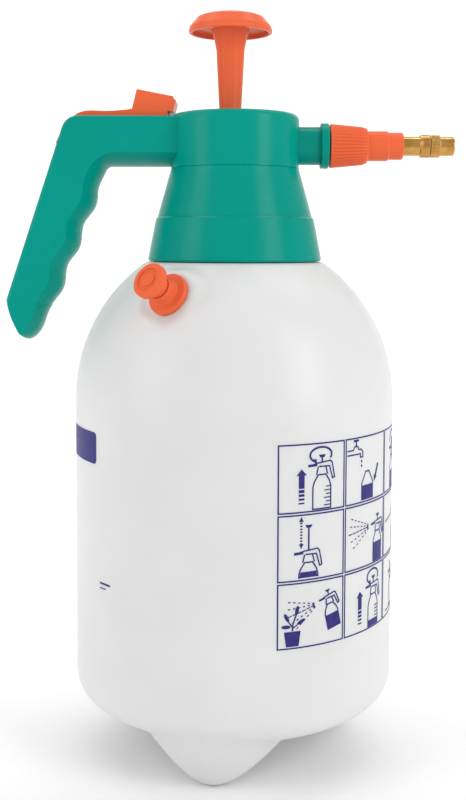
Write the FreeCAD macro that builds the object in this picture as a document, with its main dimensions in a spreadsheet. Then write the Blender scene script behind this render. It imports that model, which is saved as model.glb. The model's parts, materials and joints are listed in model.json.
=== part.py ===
"""Hand-pumped pressure sprayer of about two litres, built as a parametric FreeCAD document.

Frame: millimetres, +Z up, origin on the bottle's axis at the level that its feet stand on.
The nozzle points along +X and the handle along -X.
"""

import FreeCAD, Part

import math
import os
import Sketcher
from types import SimpleNamespace

from FreeCAD import Placement, Rotation, Vector

X, Y, Z = Vector(1, 0, 0), Vector(0, 1, 0), Vector(0, 0, 1)

SHEET = {
    # bottle
    "shoulder_radius": 67.5, "heel_radius": 68.6, "shoulder_level": 152.0, "dome_height": 70.0,
    "heel_round": 12.0, "floor_level": 23.0, "bottle_wall": 1.8,
    "neck_radius": 29.0, "neck_bore": 25.5, "neck_top": 223.2, "thread_height": 1.3,
    "ledge_level": 210.4,
    "foot_turn": 10.0, "foot_pad_radius": 4.0, "foot_pad_place": 45.0, "foot_root_radius": 34.5,
    "foot_root_place": 30.5, "foot_root_level": 25.0,
    # screw collar
    "collar_bottom": 210.8, "collar_radius": 36.5, "collar_step_level": 229.2,
    "collar_step_radius": 32.3, "collar_top": 248.85, "collar_top_radius": 26.7,
    "collar_bore": 31.3, "collar_rib_bore": 24.6,
    # head
    "head_radius": 26.7, "head_bottom": 249.0, "head_top": 270.9, "head_wall": 2.5,
    "skirt_radius": 24.2, "skirt_bore": 22.0, "skirt_bottom": 226.2, "skirt_flange": 28.6,
    "skirt_flange_thick": 2.7,
    "handle_half_width": 13.4, "bar_top": 269.4, "bar_bottom": 249.6, "handle_crown": 5.0,
    "handle_edge_round": 1.6,
    "pocket_half_width": 9.3, "lever_half_width": 8.9,
    "pivot_place": -47.0, "pivot_level": 264.5, "pivot_pin_radius": 1.5, "pivot_pin_half": 11.0,
    # pump
    "pump_place": -2.0, "rod_radius": 3.9, "neck_low_radius": 4.65, "neck_high_radius": 5.85,
    "cylinder_radius": 12.8, "cylinder_bore": 11.0, "cylinder_bottom": 116.0,
    "cylinder_top": 250.0, "cylinder_flange": 28.4, "cylinder_flange_thick": 1.4,
    "piston_level": 121.0, "piston_height": 10.0,
    # liquid line
    "line_level": 258.4, "dip_place": -18.4, "dip_radius": 2.8, "dip_bore": 1.8,
    "valve_radius": 4.6, "valve_bore": 3.2, "valve_left": -35.0, "valve_right": -9.0,
    "valve_pin_radius": 1.5,
    "spout_radius": 7.8, "spout_flange_radius": 9.3, "spout_flange_left": 35.5,
    "spout_flange_right": 38.9, "stub_radius": 5.8, "stub_right": 49.2,
    # nozzle
    "sleeve_left": 39.4, "sleeve_right": 69.9, "stem_radius": 3.95, "stem_right": 76.9,
    "knurl_radius": 4.65, "knurl_right": 80.9, "cap_left": 81.2, "cap_knurl_right": 85.2,
    "cap_right": 91.2, "jet_bore": 1.5,
    # relief valve
    "relief_turn": 30.0, "relief_radius": 50.6, "relief_level": 198.2,
    "relief_axis_turn": 38.0, "relief_tilt": 28.0, "relief_hole": 5.0, "relief_boss": 9.4,
}


class Size:
    """A length with its value now and the sheet formula that keeps it up to date."""

    def __init__(self, value, formula):
        self.value = float(value)
        self.formula = formula

    def __add__(self, other):
        other = size(other)
        return Size(self.value + other.value, f"({self.formula} + {other.formula})")

    def __sub__(self, other):
        other = size(other)
        return Size(self.value - other.value, f"({self.formula} - {other.formula})")

    def __mul__(self, factor):
        return Size(self.value * factor, f"({self.formula} * {factor})")

    def __neg__(self):
        return self * -1


def size(value):
    """A plain number as a Size; a Size comes back as it is."""
    return value if isinstance(value, Size) else Size(value, f"{float(value)}")


doc = FreeCAD.newDocument("PumpSprayer")
sheet = doc.addObject("Spreadsheet::Sheet", "Sizes")
for row, (alias, number) in enumerate(SHEET.items(), start=1):
    sheet.set(f"A{row}", alias)
    sheet.set(f"B{row}", str(number))
    sheet.setAlias(f"B{row}", alias)
doc.recompute()
dim = SimpleNamespace(**{alias: Size(number, f"Sizes.{alias}") for alias, number in SHEET.items()})
sub_parts = []


# ---------------------------------------------------------------- shared builders

def keep(thing, label):
    """Name a finished sub-part and put it on the list of pieces to write."""
    thing.Label = label
    sub_parts.append(thing)
    return thing


def base_plane(body, role):
    """One of a body's own origin planes."""
    return next(plane for plane in body.Origin.OriginFeatures if plane.Role == role)


def outline_sketch(body, name, role, points):
    """A closed outline whose corners are each held by two sheet-driven coordinates."""
    sketch = body.newObject("Sketcher::SketchObject", name)
    sketch.AttachmentSupport = [(base_plane(body, role), "")]
    sketch.MapMode = "FlatFace"
    points = [(size(across), size(up)) for across, up in points]
    corners = [Vector(across.value, up.value, 0) for across, up in points]
    for start, end in zip(corners, corners[1:] + corners[:1]):
        sketch.addGeometry(Part.LineSegment(start, end), False)
    for index in range(len(corners)):
        following = (index + 1) % len(corners)
        sketch.addConstraint(Sketcher.Constraint("Coincident", index, 2, following, 1))
    for index, (across, up) in enumerate(points):
        for kind, length in (("DistanceX", across), ("DistanceY", up)):
            number = sketch.addConstraint(Sketcher.Constraint(kind, index, 1, length.value))
            sketch.setExpression(f"Constraints[{number}]", length.formula)
    return sketch


def ring_edges(shape, radius, level):
    """Names of the circular edges with this radius and height."""
    names = []
    for number, edge in enumerate(shape.Edges, start=1):
        if not isinstance(edge.Curve, Part.Circle):
            continue
        if abs(edge.Curve.Radius - radius) < 0.02 and abs(edge.Curve.Center.z - level) < 0.02:
            names.append(f"Edge{number}")
    if not names:
        raise ValueError(f"no ring of radius {radius} at {level}")
    return names


def turned_body(name, points, rounds=(), bevels=()):
    """A turned piece: its half section is revolved about its own Z axis.

    rounds and bevels are (radius of the ring, its height, size of the round or bevel).
    """
    body = doc.addObject("PartDesign::Body", name)
    sketch = outline_sketch(body, f"{name}_section", "XZ_Plane", points)
    turn = body.newObject("PartDesign::Revolution", f"{name}_turn")
    turn.Profile = sketch
    turn.ReferenceAxis = (sketch, ["V_Axis"])
    turn.Angle = 360.0
    doc.recompute()
    tip = turn
    for kind, marks in (("Fillet", rounds), ("Chamfer", bevels)):
        for number, (radius, level, amount) in enumerate(marks):
            dressed = body.newObject(f"PartDesign::{kind}", f"{name}_{kind.lower()}_{number}")
            edges = ring_edges(tip.Shape, size(radius).value, size(level).value)
            dressed.Base = (tip, edges)
            if kind == "Fillet":
                dressed.Radius = amount
            else:
                dressed.Size = amount
            doc.recompute()
            tip = dressed
    return body


def put(thing, place, turn=Rotation()):
    """Place a piece by three sheet-driven coordinates and a rotation."""
    place = [size(value) for value in place]
    thing.Placement = Placement(Vector(*(value.value for value in place)), turn)
    for axis, value in zip("xyz", place):
        thing.setExpression(f"Placement.Base.{axis}", value.formula)
    return thing


ALONG_X = Rotation(Z, X)
ALONG_Y = Rotation(Z, Y)


def on_pump(body, label):
    """Place a turned piece on the pump's axis."""
    return keep(put(body, (dim.pump_place, 0, 0)), label)


def on_line(body, label):
    """Lay a turned piece along X at the height of the liquid line."""
    return keep(put(body, (0, 0, dim.line_level), ALONG_X), label)


def round_bar(radius, length, place, turn=Rotation()):
    """A plain cylinder, driven by the sheet."""
    bar = doc.addObject("Part::Cylinder", "Bar")
    radius, length = size(radius), size(length)
    bar.Radius = radius.value
    bar.Height = length.value
    bar.setExpression("Radius", radius.formula)
    bar.setExpression("Height", length.formula)
    return put(bar, place, turn)


def block(low, high):
    """A box between two corners, driven by the sheet."""
    box = doc.addObject("Part::Box", "Block")
    low = [size(value) for value in low]
    high = [size(value) for value in high]
    for side, start, end in zip(("Length", "Width", "Height"), low, high):
        setattr(box, side, end.value - start.value)
        box.setExpression(side, (end - start).formula)
    return put(box, low)


def joined(*things):
    """One solid out of several."""
    fuse = doc.addObject("Part::MultiFuse", "Joined")
    fuse.Shapes = list(things)
    fuse.Refine = True
    return fuse


def without(thing, *tools):
    """A solid with others cut away."""
    cut = doc.addObject("Part::Cut", "Without")
    cut.Base = thing
    cut.Tool = tools[0] if len(tools) == 1 else joined(*tools)
    cut.Refine = True
    return cut


def made(shape, label, placement=Placement()):
    """A piece that Part's own functions make."""
    feature = doc.addObject("Part::Feature", label)
    feature.Shape = shape
    feature.Placement = placement
    return feature


def coil_shape(radius, wire, length, turns):
    """A compression spring of round wire along +Z, starting at the origin's level."""
    pitch = (length - 2 * wire) / turns
    helix = Part.makeHelix(pitch, pitch * turns, radius)
    helix.translate(Vector(0, 0, wire))
    section = Part.Wire([Part.makeCircle(wire, Vector(radius, 0, wire), Y)])
    return Part.Wire(helix).makePipeShell([section], True, True)


# ---------------------------------------------------------------- bottle

def bottle_profile(inset):
    """The bottle's half section, moved inwards by inset, as a face in the XZ plane."""
    heel = dim.heel_radius.value - inset
    shoulder = dim.shoulder_radius.value - inset
    floor = dim.floor_level.value + inset
    top = dim.shoulder_level.value
    rise = dim.dome_height.value - inset
    bend = dim.heel_round.value - inset
    neck = dim.neck_radius.value if inset == 0 else dim.neck_bore.value
    ledge = dim.ledge_level.value - inset
    end_angle = math.asin((ledge - top) / rise)
    dome_end = Vector(shoulder * math.cos(end_angle), 0, ledge)
    dome_edge = arc_of_dome(shoulder, rise, top, end_angle)
    diagonal = math.sqrt(0.5)
    heel_arc = Part.Arc(
        Vector(heel - bend, 0, floor),
        Vector(heel - bend + bend * diagonal, 0, floor + bend - bend * diagonal),
        Vector(heel, 0, floor + bend),
    )
    lid = dim.neck_top.value + (0 if inset == 0 else 5)
    edges = [
        Part.LineSegment(Vector(0, 0, floor), Vector(heel - bend, 0, floor)).toShape(),
        heel_arc.toShape(),
        Part.LineSegment(Vector(heel, 0, floor + bend), Vector(shoulder, 0, top)).toShape(),
        dome_edge,
        Part.LineSegment(dome_end, Vector(neck, 0, ledge)).toShape(),
        Part.LineSegment(Vector(neck, 0, ledge), Vector(neck, 0, lid)).toShape(),
        Part.LineSegment(Vector(neck, 0, lid), Vector(0, 0, lid)).toShape(),
        Part.LineSegment(Vector(0, 0, lid), Vector(0, 0, floor)).toShape(),
    ]
    return Part.Face(Part.Wire(edges))


def arc_of_dome(shoulder, rise, top, end_angle):
    """The dome's quarter ellipse, from the shoulder up to end_angle, as a smooth curve."""
    steps = 8
    points = []
    for step in range(steps + 1):
        angle = end_angle * step / steps
        points.append(Vector(shoulder * math.cos(angle), 0, top + rise * math.sin(angle)))
    curve = Part.BSplineCurve()
    curve.interpolate(points)
    return curve.toShape()


def foot_shape(inset):
    """One rounded foot, turned so that it points along +X."""
    root, pad = dim.foot_root_radius.value, dim.foot_pad_radius.value
    root_place, pad_place = dim.foot_root_place.value, dim.foot_pad_place.value
    height = dim.foot_root_level.value
    sections = []
    for share in (1.25, 1.0, 0.62, 0.26, 0.07, 0.0):
        spread = pad + (root - pad) * share ** 0.72
        place = pad_place + (root_place - pad_place) * share
        centre = Vector(place, 0, height * share + inset)
        sections.append(Part.Wire([Part.makeCircle(spread - 1.25 * inset, centre, Z)]))
    return Part.makeLoft(sections, True, False)


def relief_placement():
    """The relief valve's frame: origin on the dome, +Z along the valve's axis."""
    turn = math.radians(dim.relief_turn.value)
    place = Vector(
        -dim.relief_radius.value * math.sin(turn),
        -dim.relief_radius.value * math.cos(turn),
        dim.relief_level.value,
    )
    axis_turn = math.radians(dim.relief_axis_turn.value)
    tilt = math.radians(dim.relief_tilt.value)
    axis = Vector(
        -math.sin(axis_turn) * math.cos(tilt),
        -math.cos(axis_turn) * math.cos(tilt),
        math.sin(tilt),
    )
    return Placement(place, Rotation(Z, axis))


def build_bottle():
    """The blown tank: dome, straight wall, three hollow feet and a threaded neck."""
    skins = []
    for inset in (0.0, dim.bottle_wall.value):
        skin = bottle_profile(inset).revolve(Vector(), Z, 360)
        feet = []
        for number in range(3):
            foot = foot_shape(inset)
            foot.rotate(Vector(), Z, -90 - dim.foot_turn.value + 120 * number)
            feet.append(foot)
        skins.append(skin.fuse(feet).removeSplitter())
    shell = skins[0].cut(skins[1])
    threads = []
    for level in (214.5, 218.5):
        band = Part.makeCone(
            dim.neck_radius.value + dim.thread_height.value, dim.neck_radius.value, 1.6,
            Vector(0, 0, level), Z,
        )
        core = Part.makeCylinder(dim.neck_bore.value + 1, 1.6, Vector(0, 0, level), Z)
        threads.append(band.cut(core))
    boss = Part.makeCylinder(dim.relief_boss.value, 4.0, Vector(0, 0, -4.45), Z)
    recess = Part.makeCylinder(dim.relief_boss.value, 12.0, Vector(0, 0, -0.45), Z)
    hole = Part.makeCylinder(dim.relief_hole.value, 40, Vector(0, 0, -20), Z)
    for cutter in (boss, recess, hole):
        cutter.Placement = relief_placement()
    shell = shell.fuse([boss, *threads]).cut([recess, hole]).removeSplitter()
    keep(made(shell.Solids[0], "bottle"), "bottle")


# ---------------------------------------------------------------- relief valve

def at_relief(body, label):
    """Put a turned piece on the relief valve's axis."""
    body.Placement = relief_placement()
    return keep(body, label)


def build_relief_valve():
    """Seat, knob with its stem, seal, spring and retaining ring."""
    seat = turned_body(
        "ReliefSeat",
        [(2.7, -9.0), (4.9, -9.0), (4.9, -0.4), (8.6, -0.4), (8.6, 1.8), (5.9, 2.4), (4.9, 3.6),
         (4.7, 6.6), (3.9, 6.6), (3.9, -7.2), (2.7, -7.2)],
        rounds=[(8.6, 1.8, 0.7)],
    )
    at_relief(seat, "relief_valve_seat")
    knob = turned_body(
        "ReliefKnob",
        [(0, -8.6), (2.2, -8.6), (2.2, 7.2), (4.5, 7.2), (4.8, 8.6), (5.6, 10.0), (7.1, 11.2),
         (7.1, 13.6), (4.9, 13.9), (4.7, 13.3), (2.9, 13.3), (2.7, 13.8), (0, 13.8)],
        rounds=[(7.1, 13.6, 0.7), (7.1, 11.2, 0.5)],
    )
    at_relief(knob, "relief_valve_knob")
    seal = turned_body("ReliefSeal", [(2.2, -7.1), (3.8, -7.1), (3.8, -5.9), (2.2, -5.9)])
    at_relief(seal, "relief_valve_seal")
    ring = turned_body("ReliefRing", [(2.35, 5.2), (3.9, 5.2), (3.9, 6.4), (2.35, 6.4)])
    at_relief(ring, "relief_retaining_ring")
    spring = made(coil_shape(3.1, 0.3, 10.8, 6), "relief_valve_spring")
    lift = Placement(Vector(0, 0, -5.75), Rotation())
    spring.Placement = relief_placement().multiply(lift)
    keep(spring, "relief_valve_spring")


# ---------------------------------------------------------------- head

def handle_section(side, rise):
    """The handle's side view at one distance from its middle plane.

    rise is how far the rounded inner face has curved away there, measured from its ridge.
    """
    top, under = dim.bar_top.value, dim.bar_bottom.value + rise

    def point(across, up):
        return Vector(across, side, up)

    inner_top = point(-53.3, dim.bar_bottom.value)
    run = point(-77.3, 191.5) - inner_top
    length = run.Length
    along = run.normalize()
    inward = Vector(-along.z, 0, along.x)
    wave, first_groove, depth = 18.5, 26.0, 0.95
    grip = []
    for step in range(17):
        reach = 2.0 + (length - 2.0) * step / 16
        bump = 0.55 - depth * math.cos(2 * math.pi * (reach - first_groove) / wave)
        bump *= min(1.0, reach / 10.0)
        grip.append(inner_top + along * reach + inward * (bump - rise))
    grooves = Part.BSplineCurve()
    grooves.interpolate(grip)
    tip = Part.BSplineCurve()
    tip.interpolate([
        point(-94.5, 195.0), point(-93.2, 189.0), point(-90.7, 181.4 + 0.3 * rise),
        point(-87.0 - 0.3 * rise, 177.6 + 0.5 * rise), point(-83.5 - 0.7 * rise, 179.8 + 0.4 * rise),
        point(-80.7 - 0.8 * rise, 185.0 + 0.1 * rise),
        grip[-1],
    ])
    corner = Part.Arc(point(-63.76, top), point(-67.82, 268.1), point(-70.37, 264.69))
    bend_start = point(-51.0, under)
    bend = Part.Arc(bend_start, (bend_start + grip[0]) * 0.5 + Vector(-0.5, 0, 0.4), grip[0])
    return Part.Wire([
        Part.LineSegment(point(-22.5, under), point(-22.5, top)).toShape(),
        Part.LineSegment(point(-22.5, top), point(-63.76, top)).toShape(),
        corner.toShape(),
        Part.LineSegment(point(-70.37, 264.69), point(-94.5, 195.0)).toShape(),
        tip.toShape(),
        grooves.toShape(),
        bend.toShape(),
        Part.LineSegment(bend_start, point(-22.5, under)).toShape(),
    ])


def handle_shape():
    """The handle as a bar of D section: flat sides and a crowned inner face."""
    half, crown = dim.handle_half_width.value, dim.handle_crown.value
    sections = []
    for share in (-1.0, -0.85, -0.55, -0.2, 0.2, 0.55, 0.85, 1.0):
        sections.append(handle_section(share * half, crown * share ** 2))
    solid = Part.makeLoft(sections, True, False)
    rear = []
    for edge in solid.Edges:
        ends = [vertex.Point for vertex in edge.Vertexes]
        flat = all(abs(abs(end.y) - half) < 0.01 for end in ends)
        outside = all(end.x < -63.0 and end.z > 194.0 for end in ends)
        if flat and outside and abs(ends[0].y - ends[-1].y) < 0.01:
            rear.append(edge)
    return solid.makeFillet(dim.handle_edge_round.value, rear)


def build_head():
    """One moulding: cap, skirt, handle and spout, with the pockets for what it holds."""
    cap = turned_body(
        "HeadCap",
        [(0, dim.head_top), (dim.head_radius, dim.head_top), (dim.head_radius, dim.head_bottom),
         (dim.skirt_radius, dim.head_bottom),
         (dim.skirt_radius, dim.skirt_bottom + dim.skirt_flange_thick),
         (dim.skirt_flange, dim.skirt_bottom + dim.skirt_flange_thick),
         (dim.skirt_flange, dim.skirt_bottom), (dim.skirt_bore, dim.skirt_bottom),
         (dim.skirt_bore, dim.head_bottom + 2.0),
         (dim.head_radius - dim.head_wall, dim.head_bottom + 3.0),
         (dim.head_radius - dim.head_wall, dim.head_top - 3.2), (0, dim.head_top - 3.2)],
        rounds=[(dim.head_radius, dim.head_top, 2.6)],
    )
    spout = turned_body(
        "Spout",
        [(2.25, 25.2), (dim.spout_radius, 25.2), (dim.spout_radius, dim.spout_flange_left),
         (dim.spout_flange_radius, dim.spout_flange_left),
         (dim.spout_flange_radius, dim.spout_flange_right),
         (dim.stub_radius, dim.spout_flange_right), (dim.stub_radius, dim.stub_right),
         (1.6, dim.stub_right), (1.6, 36.0), (2.25, 36.0)],
        rounds=[(dim.spout_flange_radius, dim.spout_flange_left, 0.5),
                (dim.spout_flange_radius, dim.spout_flange_right, 0.5)],
    )
    put(spout, (0, 0, dim.line_level), ALONG_X)
    handle = made(handle_shape(), "Handle")
    half = dim.pocket_half_width
    pockets = [
        block((-74.0, -half, 263.2), (-30.0, half, 290.0)),
        block((-90.0, -half, 252.0), (-62.6, half, 290.0)),
        block((-52.0, -half, 254.4), (-35.2, half, 290.0)),
        round_bar(dim.pivot_pin_radius, dim.pivot_pin_half * 2,
                  (dim.pivot_place, -dim.pivot_pin_half, dim.pivot_level), ALONG_Y),
        round_bar(dim.valve_radius + 0.05, 17.0, (-38.0, 0, dim.line_level), ALONG_X),
        round_bar(6.6, 10.0, (dim.pump_place, 0, dim.head_top - 6.0)),
        round_bar(2.25, 8.0, (23.0, 0, dim.line_level), ALONG_X),
    ]
    keep(without(joined(cap, spout, handle), *pockets), "head_housing")


def build_collar():
    """The loose screw collar that clamps the head on the bottle."""
    step, top = dim.collar_step_level, dim.collar_top
    collar = turned_body(
        "Collar",
        [(dim.collar_bore, dim.collar_bottom), (dim.collar_radius - 0.5, dim.collar_bottom),
         (dim.collar_radius, dim.collar_bottom + 0.8), (33.1, step - 0.9), (32.3, step - 0.2),
         (dim.collar_step_radius, step), (dim.collar_top_radius, top),
         (dim.collar_rib_bore, top), (dim.collar_rib_bore, top - 2.5),
         (25.2, top - 3.0), (29.6, step + 3.6), (dim.collar_rib_bore, step + 3.0),
         (dim.collar_rib_bore, step + 0.1), (dim.collar_bore, step + 0.1)],
        rounds=[(33.1, dim.collar_step_level - 0.9, 0.5)],
    )
    keep(collar, "screw_collar")
    gasket = turned_body("Gasket", [(25.6, 223.3), (28.6, 223.3), (28.6, 224.7), (25.6, 224.7)])
    keep(gasket, "neck_gasket")


# ---------------------------------------------------------------- trigger

def build_trigger():
    """The thumb lever, its raised pad and its nose, with the pin it turns on."""
    top = [
        Vector(-73.5, 0, 258.6), Vector(-71.0, 0, 263.2), Vector(-68.2, 0, 267.0),
        Vector(-65.2, 0, 270.0), Vector(-61.0, 0, 271.5), Vector(-54.1, 0, 271.5),
        Vector(-47.0, 0, 271.8), Vector(-42.1, 0, 272.4),
    ]
    saddle = Part.BSplineCurve()
    saddle.interpolate(top)
    corners = [
        Vector(-42.1, 0, 272.4), Vector(-40.1, 0, 280.2), Vector(-25.2, 0, 277.4),
        Vector(-25.2, 0, 276.5), Vector(-24.2, 0, 275.9), Vector(-25.3, 0, 271.5),
        Vector(-27.6, 0, 271.5), Vector(-27.6, 0, 269.7), Vector(-30.6, 0, 269.7),
        Vector(-30.6, 0, 267.0), Vector(-43.0, 0, 267.0), Vector(-43.2, 0, 258.4),
        Vector(-45.6, 0, 258.4), Vector(-49.5, 0, 261.6), Vector(-52.0, 0, 267.6),
        Vector(-63.0, 0, 267.4), Vector(-66.6, 0, 264.0), Vector(-69.6, 0, 258.6),
        Vector(-73.5, 0, 258.6),
    ]
    edges = [saddle.toShape()]
    for start, end in zip(corners, corners[1:]):
        edges.append(Part.LineSegment(start, end).toShape())
    half = dim.lever_half_width.value
    lever = Part.Face(Part.Wire(Part.__sortEdges__(edges))).extrude(Vector(0, 2 * half, 0))
    lever.translate(Vector(0, -half, 0))
    nose = Part.makeCylinder(1.5, 2 * half, Vector(-44.3, -half, dim.line_level.value), Y)
    bore = Part.makeCylinder(
        dim.pivot_pin_radius.value + 0.07, 2 * half,
        Vector(dim.pivot_place.value, -half, dim.pivot_level.value), Y,
    )
    lever = lever.fuse(nose).cut(bore).removeSplitter()
    keep(made(lever.Solids[0], "trigger_lever"), "trigger_lever")
    pin = round_bar(dim.pivot_pin_radius, dim.pivot_pin_half * 2,
                    (dim.pivot_place, -dim.pivot_pin_half, dim.pivot_level), ALONG_Y)
    keep(pin, "trigger_pin")


# ---------------------------------------------------------------- pump

def build_pump():
    """Cylinder, rod guide, plunger knob, rod, piston with its seal, and the check valve."""
    flange_top = dim.skirt_bottom - 0.05
    tube = round_bar(dim.cylinder_radius, dim.cylinder_top - dim.cylinder_bottom,
                     (dim.pump_place, 0, dim.cylinder_bottom))
    flange = round_bar(dim.cylinder_flange, dim.cylinder_flange_thick,
                       (0, 0, flange_top - dim.cylinder_flange_thick))
    bore = round_bar(dim.cylinder_bore, dim.cylinder_top - dim.cylinder_bottom,
                     (dim.pump_place, 0, dim.cylinder_bottom + 2.0))
    port = round_bar(2.6, 6.0, (dim.pump_place, 0, dim.cylinder_bottom - 2.0))
    passage = round_bar(dim.dip_radius + 0.05, 8.0,
                        (dim.dip_place, 0, flange_top - dim.cylinder_flange_thick - 3.0))
    keep(without(joined(tube, flange), bore, port, passage), "pump_cylinder")

    guide = turned_body(
        "RodGuide",
        [(dim.rod_radius + 0.1, 245.0), (dim.cylinder_bore - 0.05, 245.0),
         (dim.cylinder_bore - 0.05, dim.cylinder_top + 0.05),
         (dim.cylinder_radius, dim.cylinder_top + 0.05), (dim.cylinder_radius, 253.0),
         (dim.rod_radius + 0.1, 253.0)],
        bevels=[(dim.cylinder_radius, 253.0, 0.6)],
    )
    on_pump(guide, "rod_guide")

    knob = turned_body(
        "Knob",
        [(0, 311.5), (6.5, 311.3), (11.2, 310.7), (13.7, 309.8), (16.8, 306.2), (17.2, 305.0),
         (17.2, 303.6), (15.8, 303.6), (15.4, 305.2), (9.6, 305.9), (7.9, 305.3), (6.8, 301.8),
         (dim.neck_high_radius, 297.0), (dim.neck_low_radius, 274.0),
         (dim.neck_low_radius - 0.1, 254.0), (dim.rod_radius, 254.0),
         (dim.rod_radius, 292.0), (0, 292.0)],
        rounds=[(13.7, 309.8, 1.2), (17.2, 303.6, 0.5)],
    )
    on_pump(knob, "plunger_knob")

    piston_top = dim.piston_level + dim.piston_height
    rod = turned_body("Rod", [(0, piston_top - 6.0), (dim.rod_radius, piston_top - 6.0),
                              (dim.rod_radius, 291.9), (0, 291.9)])
    on_pump(rod, "plunger_rod")
    land, groove = dim.cylinder_bore - 0.3, dim.cylinder_bore - 2.3
    piston = turned_body(
        "Piston",
        [(0, dim.piston_level), (land, dim.piston_level), (land, dim.piston_level + 3.4),
         (groove, dim.piston_level + 3.4), (groove, dim.piston_level + 6.6),
         (land, dim.piston_level + 6.6), (land, piston_top), (dim.rod_radius, piston_top),
         (dim.rod_radius, piston_top - 6.0), (0, piston_top - 6.0)],
    )
    on_pump(piston, "piston")
    seal = turned_body(
        "PistonSeal",
        [(groove, dim.piston_level + 3.5), (dim.cylinder_bore - 0.05, dim.piston_level + 3.5),
         (dim.cylinder_bore - 0.05, dim.piston_level + 5.3),
         (dim.cylinder_bore - 0.9, dim.piston_level + 6.5), (groove, dim.piston_level + 6.5)],
    )
    on_pump(seal, "piston_seal")
    flap = turned_body(
        "CheckValve",
        [(0, 113.4), (3.0, 113.4), (7.6, 115.0), (7.6, 115.9), (1.8, 115.9), (1.8, 118.2),
         (3.2, 118.2), (2.2, 119.8), (0, 119.8)],
    )
    on_pump(flap, "check_valve_flap")


# ---------------------------------------------------------------- liquid line

def build_liquid_line():
    """Dip tube, strainer, trigger valve and the pipe to the spout."""
    level = dim.line_level
    bottom = dim.floor_level + 9.0
    tube = turned_body("DipTube", [(dim.dip_bore, bottom), (dim.dip_radius, bottom),
                                   (dim.dip_radius, level - 3.4), (dim.dip_bore, level - 3.4)])
    keep(put(tube, (dim.dip_place, 0, 0)), "dip_tube")
    strainer = turned_body(
        "Strainer",
        [(0, bottom - 5.5), (4.2, bottom - 5.5), (4.8, bottom - 4.5), (4.8, bottom + 3.0),
         (3.6, bottom + 4.6), (dim.dip_radius, bottom + 4.6), (dim.dip_radius, bottom - 0.2),
         (1.4, bottom - 0.2), (1.4, bottom - 3.0), (0, bottom - 3.0)],
    )
    keep(put(strainer, (dim.dip_place, 0, 0)), "dip_strainer")

    length = dim.valve_right - dim.valve_left
    barrel = round_bar(dim.valve_radius, length, (dim.valve_left, 0, level), ALONG_X)
    chamber = round_bar(dim.valve_bore, length - 3.5, (dim.valve_left + 2.0, 0, level), ALONG_X)
    pin_hole = round_bar(dim.valve_pin_radius + 0.08, 4.0, (dim.valve_left - 1.0, 0, level),
                         ALONG_X)
    inlet = round_bar(dim.dip_radius + 0.05, 6.0, (dim.dip_place, 0, level - 7.0))
    outlet = round_bar(2.0, 6.0, (-12.6, 0, level), Rotation(Z, -Y))
    keep(without(barrel, chamber, pin_hole, inlet, outlet), "valve_body")

    pin = turned_body(
        "ValvePin",
        [(0, -42.6), (2.9, -42.6), (2.9, -41.2), (dim.valve_pin_radius, -41.2),
         (dim.valve_pin_radius, -17.6), (2.4, -17.6), (2.4, -16.6), (1.6, -16.6),
         (1.6, -14.8), (2.4, -14.8), (2.4, -13.8), (0, -13.8)],
    )
    on_line(pin, "valve_pin")
    seal = turned_body("ValveSeal", [(1.6, -16.5), (3.1, -16.5), (3.1, -14.9), (1.6, -14.9)],
                       bevels=[(3.1, -16.5, 0.4), (3.1, -14.9, 0.4)])
    on_line(seal, "valve_seal")
    spring = made(coil_shape(2.4, 0.4, 6.1, 3), "valve_spring",
                  Placement(Vector(-41.18, 0, level.value), ALONG_X))
    keep(spring, "valve_spring")

    height = level.value
    first = [Vector(-12.6, -4.0, height), Vector(-12.6, -7.0, height)]
    bends = [
        Part.Arc(Vector(-12.6, -7, height), Vector(-11.136, -10.536, height),
                 Vector(-7.6, -12, height)),
        Part.Arc(Vector(8, -12, height), Vector(12.243, -10.243, height), Vector(14, -6, height)),
        Part.Arc(Vector(14, -6, height), Vector(15.757, -1.757, height), Vector(20, 0, height)),
    ]
    route = Part.Wire([
        Part.LineSegment(*first).toShape(), bends[0].toShape(),
        Part.LineSegment(Vector(-7.6, -12, height), Vector(8, -12, height)).toShape(),
        bends[1].toShape(), bends[2].toShape(),
        Part.LineSegment(Vector(20, 0, height), Vector(35.5, 0, height)).toShape(),
    ])
    walls = []
    for radius in (1.95, 1.2):
        section = Part.Wire([Part.makeCircle(radius, first[0], Y)])
        walls.append(route.makePipeShell([section], True, False))
    keep(made(walls[0].cut(walls[1]).Solids[0], "outlet_pipe"), "outlet_pipe")


# ---------------------------------------------------------------- nozzle

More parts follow.
